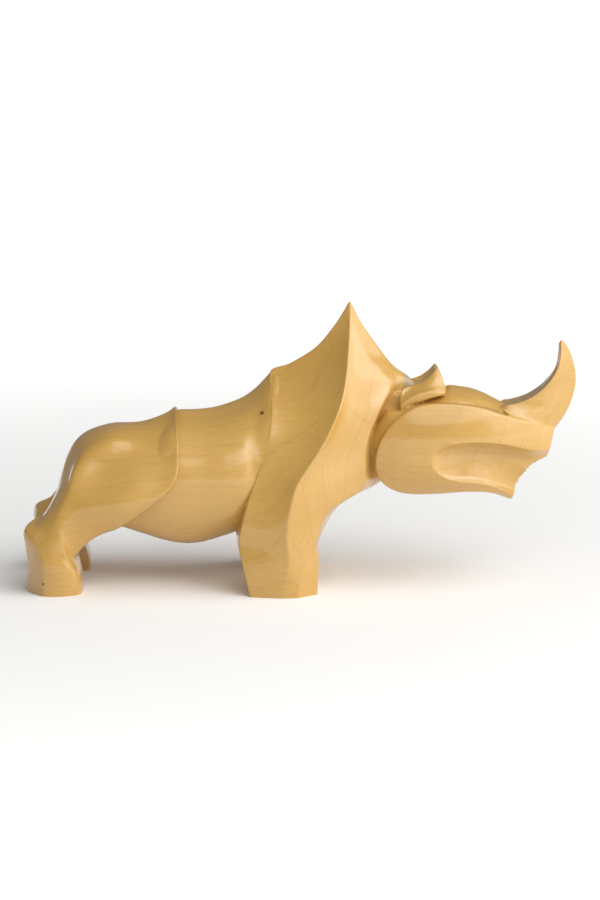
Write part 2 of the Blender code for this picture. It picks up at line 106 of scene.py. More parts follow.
def eased(count):
    """Places from 0 to 1 that crowd towards both ends, so ridges get close points."""
    t = np.arange(count) / count
    return t - 0.13 * np.sin(2 * np.pi * t)


def rings_through(corners, crisp, swell, steps):
    """Closed rings through corner points given as (ring, corner, xyz).

    Side by side, a crisp corner starts the side along its own chord, turned out by the swell,
    and a soft one along the chord from the corner before to the corner after. `crisp` from 0 to
    1 mixes the two. All rings are worked out together, one side of the ring at a time."""
    p = np.asarray(corners, dtype=float)
    n = p.shape[1]
    crisp = np.broadcast_to(np.asarray(crisp, dtype=float), p.shape[:2])
    swell = np.broadcast_to(np.asarray(swell, dtype=float), p.shape[:2])
    middle = p.mean(axis=1)
    parts = []
    for i in range(n):
        j, before, after = (i + 1) % n, i - 1, (i + 2) % n
        a, b = p[:, i], p[:, j]
        side = b - a
        size = np.linalg.norm(side, axis=1, keepdims=True) + 1e-9
        out = (a + b) / 2 - middle
        out = unit(out - side * (out * side).sum(axis=1, keepdims=True) / size**2)
        bow = 4 * swell[:, i : i + 1] * size * out
        c, d = crisp[:, i : i + 1], crisp[:, j : j + 1]
        start = c * (side + bow) + (1 - c) * unit(b - p[:, before]) * size
        end = d * (side - bow) + (1 - d) * unit(p[:, after] - a) * size
        f = eased(steps[i])[None, :, None]
        parts.append(cubic(f, a[:, None], start[:, None], b[:, None], end[:, None]))
    return np.concatenate(parts, axis=1)


# %% [markdown]
# ## Rounding the ridges
# Sandpaper takes the knife-edge off every ridge, and the thin bright line along each ridge in
# the photograph is light caught by that small round. A moving average along the curve does the
# same: on a straight stretch it changes nothing, and at a corner it cuts an arc as wide as the
# window.


# %% Moving average along a curve
def eased_corner(points, radius, closed):
    """Each point becomes the mean of the curve within `radius` of it, measured along the curve:
    the running integral of the curve is read at both ends of the window."""
    p = np.asarray(points, dtype=float)
    loop = np.concatenate([p, p, p, p[:1]]) if closed else p
    gap = np.linalg.norm(np.diff(loop, axis=0), axis=1)
    s = np.concatenate([[0.0], np.cumsum(gap)])
    strips = (loop[1:] + loop[:-1]) / 2 * gap[:, None]
    area = np.concatenate([[np.zeros(3)], np.cumsum(strips, axis=0)])
    at = s[len(p) : 2 * len(p)] if closed else s
    r = np.full(len(at), float(radius))
    if not closed:
        r = np.minimum(r, np.minimum(at, s[-1] - at))
    r = np.maximum(r, 1e-6)
    high, low = at + r, at - r

    def integral(q):
        k = np.clip(np.searchsorted(s, q, side="right") - 1, 0, len(s) - 2)
        f = ((q - s[k]) / np.maximum(gap[k], 1e-12))[:, None]
        inner = loop[k] * f + (loop[k + 1] - loop[k]) * f**2 / 2
        return area[k] + inner * gap[k][:, None]

    out = (integral(high) - integral(low)) / (2 * r)[:, None]
    return np.where((r > 1e-5)[:, None], out, p)


def sanded(grid, around=0.0, along=0.0):
    """Rounds the ridges of a grid of rings: `around` within each ring, `along` from ring to
    ring. Two passes give a rounder arc than one."""
    g = grid.copy()
    for _ in range(2):
        if around:
            g = np.stack([eased_corner(ring, around, True) for ring in g])
        if along:
            g = np.stack([eased_corner(g[:, k], along, False) for k in range(g.shape[1])], axis=1)
    return g


# %% Skin
def skin(name, grid, poles=(None, None)):
    """Quads between neighbouring rings and a fan over each end, as one closed mesh. Face
    corners are index arithmetic: ring * width + place."""
    rings, width = grid.shape[:2]
    ends = [np.array(pole if pole is not None else ring.mean(axis=0)) for pole, ring in
            zip(poles, (grid[0], grid[-1]))]
    points = np.concatenate([grid.reshape(-1, 3), ends]) * MM - np.array([MIDDLE, 0, 0])
    k, i = np.meshgrid(np.arange(rings - 1), np.arange(width), indexing="ij")
    j = (i + 1) % width
    quads = np.stack([k * width + i, k * width + j, (k + 1) * width + j, (k + 1) * width + i], -1)
    i = np.arange(width)
    j = (i + 1) % width
    first = np.stack([j, i, np.full(width, rings * width)], -1)
    last = np.stack([(rings - 1) * width + i, (rings - 1) * width + j,
                     np.full(width, rings * width + 1)], -1)
    mesh = bpy.data.meshes.new(name)
    faces = quads.reshape(-1, 4).tolist() + first.tolist() + last.tolist()
    mesh.from_pydata(points.tolist(), [], faces)
    shape = bmesh.new()
    shape.from_mesh(mesh)
    bmesh.ops.recalc_face_normals(shape, faces=shape.faces)
    if shape.calc_volume(signed=True) < 0:
        bmesh.ops.reverse_faces(shape, faces=shape.faces)
    shape.to_mesh(mesh)
    shape.free()
    made = bpy.data.objects.new(name, mesh)
    bpy.context.scene.collection.objects.link(made)
    print(name, "has", len(mesh.polygons), "faces")
    return made


# %% [markdown]
# ## Shoulder and front leg
# The tallest form: from the hump's point the back line runs to the withers, the shoulder ridge
# sweeps down and back to the elbow, and the neck's edge turns into the collar. It could be
# sculpted from a box, but then every ridge would have to be pinched by hand. Rings that hang
# between named lines keep each ridge exactly where the line goes.


# %% Shoulder
def shoulder():
    """Rings through six lines on the skin and two inside it, from the hump's point (place 0) down
    to the sole (place 15). The ring's sides between blade, ridge, neck, collar and front bow out
    by a share of their own length, or in where that share is below zero."""
    back = [(30.0, 0, 178.4), (27.2, 0, 173.5), (20.7, 0, 163.5), (9.6, 0, 150.4),
            (-6.5, 0, 140.3), (-18.7, 0, 135.5), (-16, 0, 122), (-14, 0, 110), (-14, 0, 96),
            (-18, 0, 78), (-26, 0, 60), (-40, 0, 40), (-40.5, -17, 32.5), (-37.3, -26, 22),
            (-34.6, -26, 10), (-32.4, -26, 0)]
    blade = [(30.4, -1.0, 178.6), (28.0, -1.4, 173.2), (22.4, -1.4, 163.5), (12.6, -2.5, 150.4),
             (-3.0, -3.0, 139.8), (-18.7, -3.0, 133.6), (-18.6, -17, 122.4), (-18.5, -29, 111.6),
             (-20.4, -37, 97.5), (-25, -41, 81.7), (-32, -44.6, 62.5), (-36.8, -47.4, 44),
             (-38.6, -46, 32.5), (-36.6, -49, 22), (-33.8, -51, 10), (-31.4, -52, 0)]
    ridge = [(31.4, -1.7, 178.9), (31.6, -3.8, 172.1), (31.4, -8, 163.9), (30.6, -17, 151.5),
             (29.1, -29, 136.2), (26.7, -37, 123.8), (22.6, -43.6, 112.4), (15.6, -48.8, 98.4),
             (6.5, -52, 84.1), (-2.1, -54, 70.7), (-6.4, -55.2, 55), (-8.1, -55.5, 43),
             (-7.8, -55.5, 33), (-7.0, -55.4, 22), (-9.5, -55.4, 10), (-12, -55.5, 0)]
    neck = [(32.3, -1.3, 178.6), (33.4, -2.8, 172), (35.6, -5.6, 163), (41, -10.5, 149.5),
            (49.5, -13.5, 138.5), (56.8, -16, 128), (50.6, -23.6, 115), (44.4, -27.6, 101),
            (41.3, -29, 88.5), (41, -28.5, 75), (39, -25.5, 64), (16, -38.5, 49.5),
            (9.3, -44.5, 33.4), (3.6, -50, 22), (0.8, -52.8, 10.5), (-0.7, -54.4, 0)]
    collar = [(32.8, -0.7, 178.4), (34.8, -1.5, 172), (38.4, -2.8, 163.4), (46, -5, 150),
              (55.2, -6.5, 139), (62.0, -9, 128.4), (54.4, -14, 116.6), (48.4, -17, 102.5),
              (45.2, -18.6, 89.5), (44.6, -18.6, 76), (45.3, -13, 63.4), (23.6, -15, 50.6),
              (11.9, -36, 33.4), (11.6, -40, 22), (11.3, -43.5, 10), (10.6, -45.5, 0)]
    front = [(33.2, 0, 178.2), (36.0, 0, 172.1), (40.4, 0, 164), (49.4, 0, 151.2),
             (59.0, 0, 139), (69.6, 0, 131.3), (74, 0, 124), (69, 0, 108), (66, 0, 92),
             (62, 0, 75), (49.6, 0, 62.0), (27.2, 0, 50.6), (11.8, -17, 33), (11.4, -26, 22),
             (11.0, -26, 10), (10.5, -26, 0)]
    inner_y = [OVERLAP] * 12 + [-8, -18.5, -18.5, -18.5]
    inner_front = [(f[0] - 3, y, f[2]) for f, y in zip(front, inner_y)]
    inner_back = [(b[0] + 3, y, b[2]) for b, y in zip(back, inner_y)]
    places = np.linspace(0, 15, 15 * FINE + 1)
    lines = (back, blade, ridge, neck, collar, front, inner_front, inner_back)
    corners = np.stack([line_at(line, places) for line in lines], axis=1)
    blade_hollow = curve([(0, -0.03), (4, -0.06), (8, -0.085), (10, -0.05), (12, 0), (15, 0.01)])
    neck_hollow = curve([(0, -0.02), (4, -0.10), (8, -0.09), (10, 0.03), (12, 0.02), (15, 0.02)])
    swell = np.zeros((len(places), 8))
    swell[:, 1] = blade_hollow(places)
    swell[:, 2] = neck_hollow(places)
    swell[:, 3] = -0.04 * np.clip((places - 11.5) / 1.0, 0, 1)
    swell[:, 4] = 0.05 * np.clip((places - 9) / 2, 0, 1)
    crisp = np.ones((len(places), 8))
    crisp[:, 0] = 0
    crisp[:, 3] = np.interp(places, [3, 5.5, 9.5, 11, 12.5], [0, 0.8, 0.8, 0, 1])
    crisp[:, 2] = 1 - 0.6 * np.clip(places - 12.6, 0, 1)
    crisp[:, 5] = 0
    steps = [12, 26, 22, 8, 10, 2, 3, 2]
    grid = rings_through(corners, crisp, swell, steps)
    return skin("shoulder", sanded(grid, around=0.9), ((31.4, 0.0, 179.7), None))


shoulder_form = shoulder()

# %% [markdown]
# ## Barrel
# A plain tapering body, fullest under the belly, that flares up to meet the shoulder's edge. Its
# ring is a half profile given as shares of width and height, so one set of shares serves the
# whole length.


# %% Barrel
def barrel():
    """Top, belly and half-width are curves of x. A ring's corners lie at y = half-width times a
    share, and at a share of the height above or below the line z = 72. Towards the shoulder the
    shares of the width grow fuller with the square of the way along the flare."""
    top = curve([(-126, 82), (-112, 92), (-95, 99), (-79, 109.8), (-67, 110.6), (-56, 111.8),
                 (-44.6, 115), (-34.2, 119.8), (-25.9, 126.6), (-21.7, 131.2), (-18.7, 134.4),
                 (-8, 136)])
    belly = curve([(-126, 42), (-118, 35.6), (-109.4, 32.8), (-97.4, 29), (-88.9, 26.2),
                   (-79.8, 24), (-70.9, 23.3), (-63.8, 24), (-56.3, 26), (-50.4, 28), (-42, 31),
                   (-30, 38), (-8, 50)])
    width = curve([(-126, 26), (-112, 36), (-95, 42), (-79, 44), (-60, 44.6), (-45, 45.6),
                   (-36, 44.8), (-28, 41.4), (-18.7, 39.6), (-8, 35)])
    x = np.concatenate([np.linspace(-126, -80, 5 * FINE), np.linspace(-79, -12, 9 * FINE)])
    t, b, w = top(x), belly(x), width(x)
    flare = (np.clip((x + 44) / 25.3, 0, 1) ** 2)[:, None]
    side = 72.0
    rise = np.array([1, 0.9, 0.79, 0.6, 0.42, 0.24, 0])
    out = np.array([0, 0.27, 0.5, 0.73, 0.87, 0.96, 1]) * (1 - flare)
    out = out + flare * np.array([0, 0.23, 0.45, 0.76, 0.92, 1.0, 1.04])
    upper_y = -w[:, None] * out
    upper_z = side + (t - side)[:, None] * rise
    drop = np.array([0.32, 0.62, 0.88, 1.0])
    narrow = np.array([0.965, 0.82, 0.5, 0])
    lower_y = -w[:, None] * narrow
    lower_z = side - (side - b)[:, None] * drop
    y = np.concatenate([upper_y, lower_y, np.full((len(x), 2), OVERLAP)], axis=1)
    z = np.concatenate([upper_z, lower_z, (b + 0.4)[:, None], (t - 1.2)[:, None]], axis=1)
    corners = np.stack([np.broadcast_to(x[:, None], y.shape), y, z], axis=-1)
    crisp = np.array([0.0] * 11 + [1.0, 1.0])
    return skin("barrel", rings_through(corners, crisp, 0.0, [5] * 10 + [3, 2, 2]))


barrel_form = barrel()

# %% [markdown]
# ## Haunch and hind leg
# The haunch overlaps the barrel like a saddle flap: its front edge starts at the spine's point,
# drops straight, and curls back under the thigh. Rings fan from that edge round the rump and on
# down the leg, so the same lines make the flap, the thigh, the hock and the foot.


# %% Haunch
def haunch():
    """Rings through six lines on the skin and two inside it, from the flap's edge (place 0) round
    the rump and down to the sole (place 10). Seven copies of the first ring, drawn in by up to
    12% towards a pole inside the body, close the flap."""
    top = [(-79, 0, 112.9), (-86, 0, 108), (-101.6, 0, 102.6), (-122, 0, 100.7),
           (-139.3, 0, 94.2), (-149.2, 0, 80), (-155.2, -20, 53.8), (-169.5, -25, 42.4),
           (-172.4, -22, 29), (-171.6, -21, 14), (-172.4, -21, 0)]
    upper = [(-77.2, -22, 103.4), (-86, -21.5, 98), (-102, -23, 95.6), (-121, -27, 95),
             (-136.5, -25, 89), (-146.8, -22, 75), (-161.4, -28, 48.6), (-173.2, -37, 40.2),
             (-172.6, -35, 27), (-171.6, -35, 14), (-172.4, -35, 0)]
    middle = [(-75.4, -42.6, 85.5), (-86.5, -39.6, 84), (-103, -37.6, 83), (-122, -35, 81),
              (-140.6, -37, 76.5), (-147.4, -36.5, 66), (-160.4, -40.5, 46.2),
              (-166.6, -45.2, 36.3), (-161.4, -50.3, 24), (-161, -50.5, 11.5), (-161.2, -50.2, 0)]
    low = [(-77.0, -48.0, 73.4), (-88.5, -49.6, 67), (-108, -51, 62.5), (-128, -48.6, 59),
           (-142, -46.2, 56), (-149.6, -46, 52.5), (-155.4, -48.4, 38.4), (-156, -50, 29.5),
           (-151, -51, 20), (-150, -51.2, 9.6), (-150, -51, 0)]
    under = [(-88.5, -48.8, 60.6), (-97, -49.2, 57.5), (-113, -48.4, 50.5), (-128, -46.2, 46),
             (-139, -46, 43), (-147, -47, 37), (-146.5, -48.3, 27), (-144.4, -47.4, 21),
             (-140.6, -46.4, 14.5), (-139.4, -46.4, 7.2), (-139.8, -46.4, 0)]
    bottom = [(-109, -41, 46.5), (-115, -37, 40), (-123, -36, 37.6), (-130.6, -35.5, 33.4),
              (-136.8, -36, 28.2), (-141.2, -37, 23.0), (-140.9, -38, 19.2), (-139.6, -38, 16),
              (-138.2, -38, 11.6), (-137.4, -39, 6), (-137.2, -39, 0)]
    inner_low = [(-108, OVERLAP, 47), (-113, OVERLAP, 45), (-120, OVERLAP, 44),
                 (-126, OVERLAP, 43), (-131, OVERLAP, 42), (-136, OVERLAP, 42),
                 (-141, -16, 25), (-139.6, -20, 16.5), (-138.2, -21, 11.6), (-137.4, -21, 6),
                 (-137.2, -21, 0)]
    inner_high = [(-84, OVERLAP, 108), (-90, OVERLAP, 103), (-103, OVERLAP, 98),
                  (-122, OVERLAP, 96), (-136, OVERLAP, 90), (-143.5, OVERLAP, 77),
                  (-150, -13, 52), (-166, -17.5, 37), (-168, -17.5, 25), (-167, -17.3, 12),
                  (-168, -17.2, 0)]
    places = np.linspace(0, 10, 10 * FINE + 1)
    lines = (top, upper, middle, low, under, bottom, inner_low, inner_high)
    corners = np.stack([line_at(line, places) for line in lines], axis=1)
    crisp = np.zeros((len(places), 8))
    crisp[:, 2] = 0.6 * np.clip(places - 6, 0, 1)
    crisp[:, 6:] = 1
    grid = rings_through(corners, crisp, 0.0, [12, 12, 14, 14, 10, 9, 4, 4])
    pole = np.array([-100.0, -18.0, 76.0])
    share = np.linspace(0.12, 0.0, 8)[:-1, None, None]
    lid = grid[:1] + share * (pole - grid[:1])
    grid = np.concatenate([lid, grid])
    return skin("haunch", sanded(grid, around=1.0, along=0.9), (pole, None))


haunch_form = haunch()

# %% [markdown]
# ## Cheek
# A smooth shield covers each side of the head, proud of the crown and the neck, and narrows to
# the nose. Its half-width is one formula in length and height, so the rim, the nose and the jaw
# always agree; the outline is scaled towards its middle to make the rings.

# %% Cheek
CHEEK = curve([(40, 26), (50, 28.6), (62, 31.6), (80, 33), (100, 32.4), (115, 29.8), (128, 25.6),
               (140, 19.6), (150, 13.2), (157, 7.2), (161, 3.4), (170, 0.8)])


def cheek_y(x, z):
    """Half-width of the cheek: a width that depends on x, less 20% of it times the square of
    the height above the middle and 50% of it times the cube of the depth below the middle."""
    up = np.clip((z - 93) / 25, 0, None)
    down = np.clip((93 - z) / 35, 0, None)
    return CHEEK(x) * (1 - 0.20 * up**2 - 0.5 * down**3)


def cheek():
    """The side outline scaled towards its centre gives the rings, and cheek_y says how far out
    each point lies. A wall goes in from the rim by 7 mm, and a last ring lies past the middle."""
    outline = [(53.5, 65.6), (47.6, 77), (49.2, 92), (57.6, 106), (72, 116.4), (92, 118.6),
               (114, 115.6), (127, 111.2), (137, 107.8), (148, 104.5), (162.6, 99), (158.2, 80),
               (146.4, 73.4), (139.6, 64), (135.1, 52.8), (121, 59.0), (104, 60.2), (85, 58.7),
               (66, 59.2)]
    crisp = [0, 0, 0, 0, 0, 0, 0, 0, 0, 0, 1, 1, 0, 0, 1, 0, 0, 0, 0]
    flat = np.array([(x, 0, z) for x, z in outline], dtype=float)
    edge = rings_through(flat[None], crisp, 0.0, [7] * len(flat))[0]
    centre = np.array([104.0, 0.0, 85.0])
    shares = np.concatenate([np.linspace(0.04, 0.9, 5 * FINE), np.linspace(0.92, 1.0, 8)])
    grid = centre + shares[:, None, None] * (edge - centre)
    grid[..., 1] = -cheek_y(grid[..., 0], grid[..., 2])
    fall = np.linspace(0, 7, 9)[1:]
    wall = np.repeat(grid[-1:], len(fall), axis=0)
    wall[..., 1] = np.minimum(wall[..., 1] + fall[:, None], -0.5)
    inside = (centre + 0.94 * (edge - centre))[None]
    inside[..., 1] = OVERLAP
    grid = np.concatenate([sanded(np.concatenate([grid, wall]), along=0.8), inside])
    return skin("cheek", grid, ((104.0, -float(cheek_y(104.0, 85.0)), 85.0), None))


cheek_form = cheek()

# %% [markdown]
# ## Crown, horn and ear
# The crown is the core of the head that shows between the two cheeks and runs back into the
# collar. The horn has three edges: a sharp one in front and two behind, with a hollow between
# them. The ear is a leaf that lies back along the crown.


# %% Crown
def skull():
    """Crown line, underside and half-width are curves of x, and a ring's corners are shares of
    them. Between the ears the crown line dips by up to 6 mm, with the square root of the way to
    the dip's end."""
    top = curve([(42, 100), (46, 112), (52, 122), (60, 128.6), (66, 128), (72, 126.8), (80, 126),
                 (87, 126.2), (94, 126.3), (101.8, 125.4), (108, 124.4), (115.8, 121.7),
                 (123.5, 117.8), (130, 114.4), (136, 110.6), (146, 104)])
    low = curve([(42, 74), (46, 69), (52, 67), (60, 64), (71, 62.5), (100, 64), (120, 72),
                 (136, 86), (146, 90)])
    width = curve([(42, 15), (46, 18.5), (50, 21.5), (55, 24.5), (62, 27), (80, 28.6), (100, 28),
                   (114, 25), (124, 20.5), (136, 14.5), (146, 8)])
    x = np.concatenate([np.linspace(42, 66, 5 * FINE), np.linspace(67, 146, 6 * FINE)])
    t, b, w = top(x), low(x), width(x)
    crown = np.interp(x, [42, 60, 71, 90, 146], [14, 12, 11, 8.4, 7])
    deep = np.interp(x, [42, 62, 67], [1, 1, 0])
    shelf = np.minimum(113.0, t - crown)
    side = t - 0.55 * (t - b)
    band = np.maximum(shelf - 1.6, side + 1.2)
    dip = 6 * np.clip(1 - np.abs(x - 75) / 18, 0, 1) ** 0.5
    floor = np.maximum((t - crown) * (1 - deep) + (shelf + 1.4) * deep, band + 1.0)
    y = np.stack([0 * x, -(0.5 - 0.02 * deep) * w, -(0.79 - 0.22 * deep) * w,
                  -(0.92 + 0.02 * deep) * w, -w, -0.75 * w, 0 * x, 0 * x + OVERLAP,
                  0 * x + OVERLAP], axis=1)
    z = np.stack([t - dip, t - 0.42 * crown - 0.6 * dip, floor, band, side, b + 0.12 * (t - b),
                  b, b, t - 1.0], axis=1)
    corners = np.stack([np.broadcast_to(x[:, None], y.shape), y, z], axis=-1)
    crisp = [0, 0, 0, 0, 0, 0, 0, 1, 1]
    return skin("skull", rings_through(corners, crisp, 0.0, [10, 8, 5, 8, 6, 4, 2, 2, 2]))


skull_form = skull()


# %% Horn
def horn():
    """Rings through the front line, one edge line and the back line, and through two lines past
    the middle plane. Front to edge bows out as the `side` curve says. Edge to back is hollow by
    5% of its length."""
    front = [(167.6, 0, 154.4), (171.4, 0, 148.4), (174.9, 0, 138), (175.8, 0, 128),
             (173.5, 0, 117), (168.8, 0, 106.6), (163.5, 0, 99), (160.5, 0, 94), (159, 0, 90),
             (157, 0, 86)]
    edge = [(165.4, -1.7, 153.8), (165.0, -4.2, 146.5), (162.9, -6.7, 137.4), (155.7, -9.0, 127),
            (145.6, -10.2, 119.4), (135.5, -10.8, 115.8), (128.6, -11.4, 114.8),
            (126.9, -13.4, 112.8), (130.7, -16.8, 110.8), (138, -19.0, 105.0)]
    back = [(164.0, 0, 153.4), (163.6, 0, 146.2), (161.6, 0, 136.4), (154.8, 0, 126.4),
            (145, 0, 118.8), (135, 0, 115.2), (127.6, 0, 113.4), (125, 0, 110), (129, 0, 106),
            (136, 0, 101)]
    inner_front = [(p[0] - 0.6, OVERLAP, p[2]) for p in front]
    inner_back = [(p[0] + 0.6, OVERLAP, p[2]) for p in back]
    places = np.linspace(0, 9, 8 * FINE + 1)
    lines = (front, edge, back, inner_back, inner_front)
    corners = np.stack([line_at(line, places) for line in lines], axis=1)
    side = curve([(0, 0.0), (1, -0.02), (2, -0.04), (3, -0.02), (4, 0.05), (5, 0.12), (6, 0.17),
                  (7, 0.18), (8, 0.16), (9, 0.13)])
    swell = np.zeros((len(places), 5))
    swell[:, 0] = side(places)
    swell[:, 1] = -0.05
    grid = rings_through(corners, 1.0, swell, [26, 12, 3, 3, 3])
    edges = np.interp(places, [0, 1, 2.5, 6, 9], [0.4, 0.6, 0.8, 0.7, 0.5])
    rounded = np.stack([eased_corner(eased_corner(ring, edge_radius, True), edge_radius, True)
                        for ring, edge_radius in zip(grid, edges)])
    return skin("horn", sanded(rounded, along=0.6), ((165.9, 0.0, 155.3), None))


horn_form = horn()


# %% Ear
def ear():
    """Rings through five lines on the leaf and two inside the head, from the neck (place 0)
    forward to the tip (place 8)."""
    fold = [(64.5, -8, 109), (63.4, -20.4, 111.5), (65.6, -22.0, 114.6), (69.6, -22.6, 117),
            (75.6, -22.8, 119), (82.5, -22.2, 121.4), (88.2, -20.8, 122.6), (91.4, -18.8, 123),
            (90.5, -12, 122)]
    hem = [(64, -8, 114), (62.9, -20.9, 115.6), (65.9, -23.4, 119.0), (70.2, -24.0, 122.4),
           (76.4, -23.8, 124.6), (83.0, -22.6, 125.3), (88.6, -20.8, 124.7), (91.9, -18.8, 124.6),
           (90.8, -12, 124)]
    leaf = [(64, -8, 118), (62.6, -20.2, 119.0), (65.2, -20.4, 122.2), (69.9, -19.9, 124.4),
            (76.4, -19.3, 126.4), (83.2, -17.8, 128.3), (88.7, -16.0, 128.6), (91.7, -14.9, 128.0),
            (90, -9, 128)]
    rim = [(65.5, -8, 122), (64.2, -18.4, 124.6), (66.6, -16.4, 127.2), (71.3, -13, 128.3),
           (77.4, -12.4, 130.6), (82.6, -11.9, 134.8), (85.9, -11.2, 138.6), (87.4, -10.9, 137.6),
           (87, -7, 134)]
    valley = [(67, -4, 118), (66.8, -9, 121.5), (69, -9, 123.2), (73, -8.4, 123.6),
              (79, -8, 125), (83.6, -8.4, 129.3), (85.9, -9.0, 134), (86.8, -8.8, 134.2),
              (86.5, -6, 130)]
    within = [(x, OVERLAP, 116.5) for x, _, _ in valley]
    below = [(x, OVERLAP, z - 8) for x, _, z in fold]
    places = np.linspace(0, 8, 5 * FINE + 1)
    lines = (fold, hem, leaf, rim, valley, within, below)
    corners = np.stack([line_at(line, places) for line in lines], axis=1)
    grid = rings_through(corners, [1, 0.7, 0.3, 1, 0.3, 1, 1], [0, 0.03, 0, 0, 0, 0, 0],
                         [6, 8, 10, 8, 6, 3, 3])
    return skin("ear", sanded(grid, around=0.45, along=0.4))


ear_form = ear()

# %% [markdown]
# ## The hollow of the mouth
# A gouge cut runs from the cheek to the lips: steep above, soft below. It is easier to shape the
# chip that was taken out than the hollow that is left, so this is a cutter.


# %% Mouth cutter
def mouth():
    """The hollow's upper and lower rims and its depth are curves of x. A ring comes in from
    42 mm out, touches the cheek at the upper rim, goes in by the depth, and comes out again at
    the lower rim."""
    upper = curve([(83, 83.2), (83.6, 86.6), (86.6, 90.1), (91.5, 92.6), (100.7, 94.2),
                   (114.7, 94.3), (129, 92.2), (143.5, 87.8), (155.8, 85), (172, 84)])
    lower = curve([(83, 81.6), (84.2, 78.2), (87.4, 74.4), (95.9, 70), (110.5, 67.4),
                   (120.1, 65.2), (134.8, 57.0), (146, 49), (172, 40)])
    depth = curve([(83, 0.6), (86, 3.4), (91, 6), (98, 8.4), (108, 10.6), (122, 12), (136, 11.8),
                   (150, 9.5), (172, 7)])
    x = np.concatenate([np.linspace(83, 100, 4 * FINE), np.linspace(101, 172, 7 * FINE)])
    u, v, d = upper(x), lower(x), depth(x)
    yu, yv = -cheek_y(x, u), -cheek_y(x, v)
    gap = u - v
    outside = 42.0
    y = np.stack([0 * x - outside, yu, yu + 0.9 * d, yu + d, yv + 0.25 * d, yv, 0 * x - outside],
                 axis=1)
    z = np.stack([u + 0.12 * np.maximum(0.5, outside + yu), u, u - 0.16 * gap, u - 0.42 * gap,
                  v + 0.14 * gap, v, v - 0.8 * (outside + yv)], axis=1)
    corners = np.stack([np.broadcast_to(x[:, None], y.shape), y, z], axis=-1)
    crisp = [1, 0, 0, 0, 0, 0, 1]
    return skin("mouth", rings_through(corners, crisp, 0.0, [3, 8, 6, 10, 6, 3, 2]))


mouth_form = mouth()

# %% [markdown]
# ## One block
# The forms overlap, so a Boolean union makes them one skin, the mouth is cut away, and
# everything beyond the middle plane is cut off. Where two forms meet, the seam is sanded, and
# where the real carving shows no seam at all they are blended. A Mirror modifier makes the far
# half. Points within 0.005 mm of each other are merged, so the skin ends up closed.


# %% Join and cut
def carve(body, steps):
    """Runs the Booleans in turn and keeps the result as the body's own mesh."""
    for form, operation in steps:
        cut = body.modifiers.new(form.name, "BOOLEAN")
        cut.operation = operation
        cut.solver = "EXACT"
        cut.object = form
    view = bpy.context.evaluated_depsgraph_get()
    done = bpy.data.meshes.new_from_object(body.evaluated_get(view))
    body.modifiers.clear()
    body.data = done
    for form, _ in steps:
        bpy.data.objects.remove(form, do_unlink=True)
    return body


carving = carve(barrel_form, [(shoulder_form, "UNION"), (haunch_form, "UNION"),
                              (skull_form, "UNION"), (cheek_form, "UNION"), (ear_form, "UNION"),
                              (horn_form, "UNION"), (mouth_form, "DIFFERENCE")])
carving.name = "carved_rhinoceros"
carving.data.name = "carved_rhinoceros"
print("joined forms:", len(carving.data.polygons), "faces")


# %% Keep the near half and sand its seams
def sand_seams(body, passes, turn):
    """Cuts along the middle plane and keeps the near side, then moves every point on or beside
    a seam (an edge where the surface turns by more than `turn` radians) towards the mean of its
    neighbours. The feet's soles stay where they are, and a point on the middle plane stays
    on it. Stray faces, which lie in the middle plane or come in pairs on the same points, are
    deleted first."""
    shape = bmesh.new()
    shape.from_mesh(body.data)
    bmesh.ops.triangulate(shape, faces=[face for face in shape.faces if len(face.verts) > 4])
    bmesh.ops.bisect_plane(shape, geom=shape.verts[:] + shape.edges[:] + shape.faces[:],
                           dist=1e-6, plane_co=(0, 0, 0), plane_no=(0, 1, 0), clear_outer=True)
    for point in shape.verts:
        if abs(point.co.y) < 2e-6:
            point.co.y = 0.0
    stray = [face for face in shape.faces if all(point.co.y == 0.0 for point in face.verts)]
    same = {}
    for face in shape.faces:
        same.setdefault(frozenset(face.verts), []).append(face)
    stray += [face for faces in same.values() if len(faces) > 1 for face in faces]
    bmesh.ops.delete(shape, geom=list(set(stray)), context="FACES")
    print("stray faces deleted:", len(stray))
    shape.normal_update()
    near = set()
    for edge in shape.edges:
        if len(edge.link_faces) == 2 and edge.calc_face_angle(0.0) > turn:
            near.update(edge.verts)
    near = [point for point in near if point.co.z > 0.0015]
    for _ in range(passes):
        bmesh.ops.smooth_vert(shape, verts=near, factor=0.5, use_axis_x=True, use_axis_y=False,
                              use_axis_z=True)
        away = [point for point in near if point.co.y != 0.0]
        bmesh.ops.smooth_vert(shape, verts=away, factor=0.5, use_axis_x=False, use_axis_y=True,
                              use_axis_z=False)
    shape.to_mesh(body.data)
    shape.free()
    print("points sanded along the seams:", len(near))


def melted(mesh, spots, passes):
    """Blends two forms where no line should show. In each round spot (x, y, z, radius, in
    millimetres) every point moves half way to the mean of its neighbours, less and less towards
    the spot's edge. All points move together."""
    count = len(mesh.vertices)
    flat = np.empty(count * 3)
    mesh.vertices.foreach_get("co", flat)
    p = flat.reshape(-1, 3)
    pairs = np.empty(len(mesh.edges) * 2, dtype=int)
    mesh.edges.foreach_get("vertices", pairs)
    a, b = pairs.reshape(-1, 2).T
    degree = np.bincount(pairs, minlength=count)[:, None]
    weight = np.zeros(count)
    for x, y, z, radius in spots:
        centre = np.array([x, y, z]) * MM - np.array([MIDDLE, 0, 0])
        away = np.linalg.norm(p - centre, axis=1) / (radius * MM)
        weight = np.maximum(weight, np.clip(1.6 * (1 - away), 0, 1))
    share = np.repeat(weight[:, None] / 2, 3, axis=1)
    share[p[:, 1] == 0.0, 1] = 0.0
    for _ in range(passes):
        total = np.stack([np.bincount(a, p[b, k], count) + np.bincount(b, p[a, k], count)
                          for k in range(3)], axis=1)
        p += share * (total / degree - p)
    mesh.vertices.foreach_set("co", p.ravel())
    print("points blended:", int((weight > 0).sum()))


